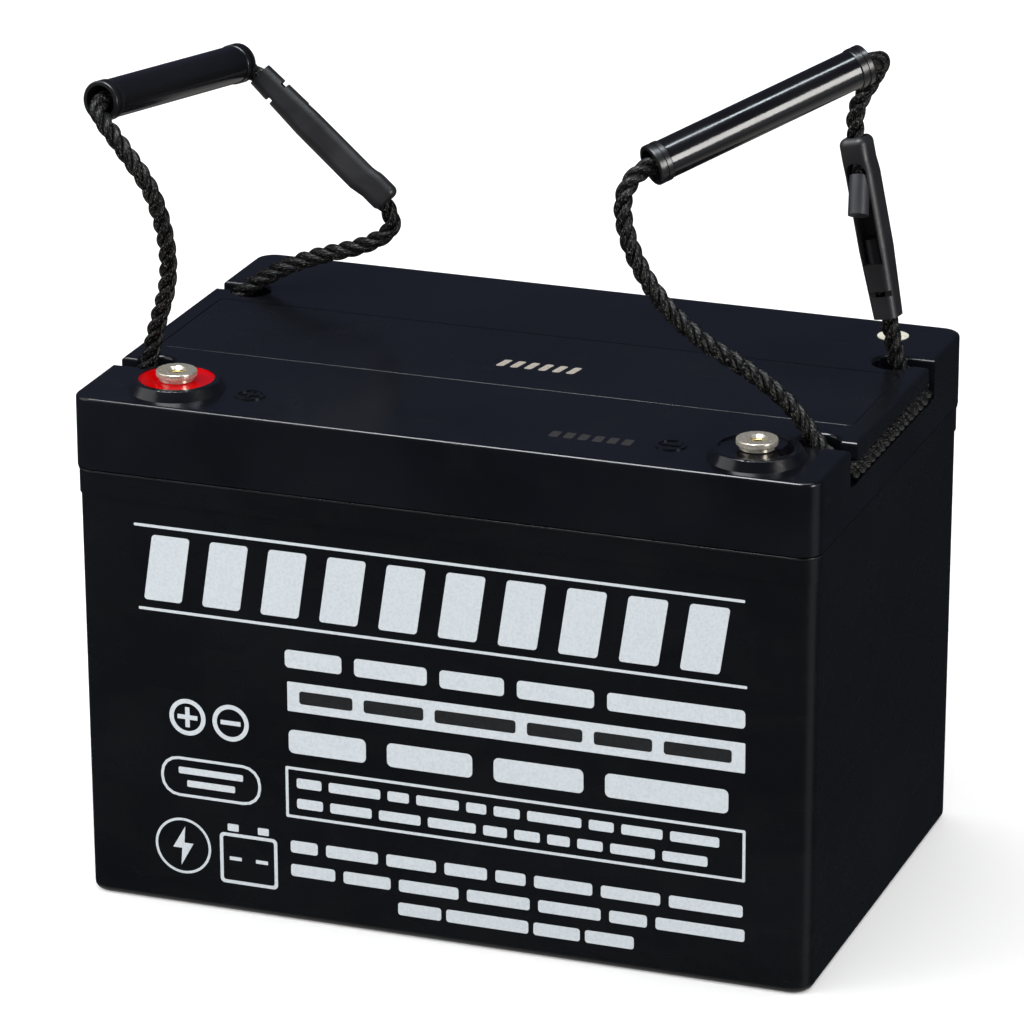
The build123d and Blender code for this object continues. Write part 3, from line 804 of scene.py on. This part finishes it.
# ---- scene: case and lid ----
lid_black = moulded_plastic(
    "lid_plastic", (0.0028, 0.0032, 0.0048), (0.0048, 0.0056, 0.008), rough=(0.16, 0.28), specular=0.3
)
case_black = moulded_plastic(
    "case_plastic",
    (0.0026, 0.0033, 0.0046),
    (0.0038, 0.0048, 0.0064),
    rough=(0.22, 0.32),
    specular=0.3,
    stretch=(0.8, 0.8, 1.3),
)
cover_black = moulded_plastic(
    "cover_plastic", (0.0028, 0.0032, 0.0048), (0.005, 0.0058, 0.0085), rough=(0.18, 0.3), specular=0.3
)
dot_paper = speckled("dot_paper", (0.62, 0.6, 0.48), (0.78, 0.76, 0.66), 500.0, (0.6, 0.75))
paint("case", case_black)
paint("lid", lid_black)
paint("vent_cover", cover_black)
paint("inspection_dot", dot_paper)

# ---- scene: inside the case ----
rubber = speckled("valve_rubber", (0.02, 0.02, 0.02), (0.035, 0.035, 0.035), 600.0, (0.6, 0.8))
positive_lead = speckled(
    "positive_lead", (0.09, 0.06, 0.05), (0.16, 0.11, 0.09), 300.0, (0.6, 0.8), metallic=0.2
)
negative_lead = speckled(
    "negative_lead", (0.16, 0.17, 0.18), (0.27, 0.28, 0.3), 300.0, (0.45, 0.65), metallic=0.8
)
glass_mat = speckled("glass_mat", (0.72, 0.72, 0.7), (0.85, 0.85, 0.83), 900.0, (0.8, 0.95))
lead = speckled("lead", (0.2, 0.21, 0.22), (0.32, 0.33, 0.35), 260.0, (0.4, 0.6), metallic=0.9)
for cell in range(1, 7):
    paint(f"valve_cap_{cell}", rubber)
    paint(f"positive_plates_{cell}", positive_lead)
    paint(f"negative_plates_{cell}", negative_lead)
    paint(f"separators_{cell}", glass_mat)
for wall in range(1, 6):
    paint(f"cell_weld_{wall}", lead)

# ---- scene: terminals ----
brass = speckled(
    "thread_brass", (0.42, 0.30, 0.08), (0.80, 0.66, 0.30), 900.0, (0.25, 0.4), metallic=0.8
)
red = resin("red_resin", (0.52, 0.0, 0.001), (0.68, 0.0, 0.001))
black = resin("black_resin", (0.002, 0.002, 0.003), (0.004, 0.004, 0.006))
for pole, filling in (("positive", red), ("negative", black)):
    low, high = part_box(f"{pole}_terminal_insert")
    plated = turned_metal(
        f"{pole}_plating", (0.49, 0.455, 0.38), (0.64, 0.60, 0.505), (low + high) / 2, rough=(0.2, 0.28)
    )
    paint(f"{pole}_terminal_insert", plated)
    paint(f"{pole}_terminal_post", lead)
    paint(f"{pole}_terminal_seal", rubber)
    paint(f"{pole}_terminal_potting", filling)
    make_potting(pole, filling)
    make_thread(pole, brass)

# ---- scene: handles ----
grip_black = moulded_plastic(
    "grip_plastic", (0.004, 0.004, 0.0045), (0.007, 0.007, 0.008), rough=(0.1, 0.2), specular=0.5
)
ring_black = moulded_plastic(
    "ring_plastic", (0.004, 0.004, 0.0045), (0.008, 0.008, 0.009), rough=(0.22, 0.34), specular=0.5
)
clip_black = moulded_plastic(
    "clip_plastic",
    (0.008, 0.0076, 0.0086),
    (0.018, 0.017, 0.020),
    rough=(0.36, 0.5),
    specular=0.5,
    depth=0.06,
)
ferrule_grey = moulded_plastic(
    "ferrule_metal", (0.02, 0.02, 0.027), (0.038, 0.038, 0.05), rough=(0.35, 0.5), specular=0.5
)
for side in ("left", "right"):
    paint(f"{side}_handle_grip_tube", grip_black)
    paint(f"{side}_handle_grip_ring_front", ring_black)
    paint(f"{side}_handle_grip_ring_rear", ring_black)
    paint(f"{side}_handle_rope_clip", clip_black)
    paint(f"{side}_handle_ferrule_low", ring_black)
    paint(f"{side}_handle_ferrule_high", ferrule_grey)
    paint(f"{side}_handle_rope", nylon)

# ---- scene: print, stamps and seam bead ----
white_ink = printed_ink("white_ink", (0.46, 0.50, 0.53), (0.53, 0.57, 0.60))
black_ink = printed_ink("black_ink", (0.012, 0.013, 0.016), (0.006, 0.007, 0.009))
silver_ink = printed_ink("silver_stamp", (0.34, 0.31, 0.27), (0.50, 0.45, 0.38))
# painted highlight: a grey a shade lighter than the lid, in place of light caught by the moulded code's
# relief
painted_relief_highlight = printed_ink("stamp_painted_highlight", (0.012, 0.011, 0.011), (0.03, 0.028, 0.026))
make_print(white_ink, black_ink)
make_stamps(silver_ink, painted_relief_highlight)
make_seam_bead(case_black)
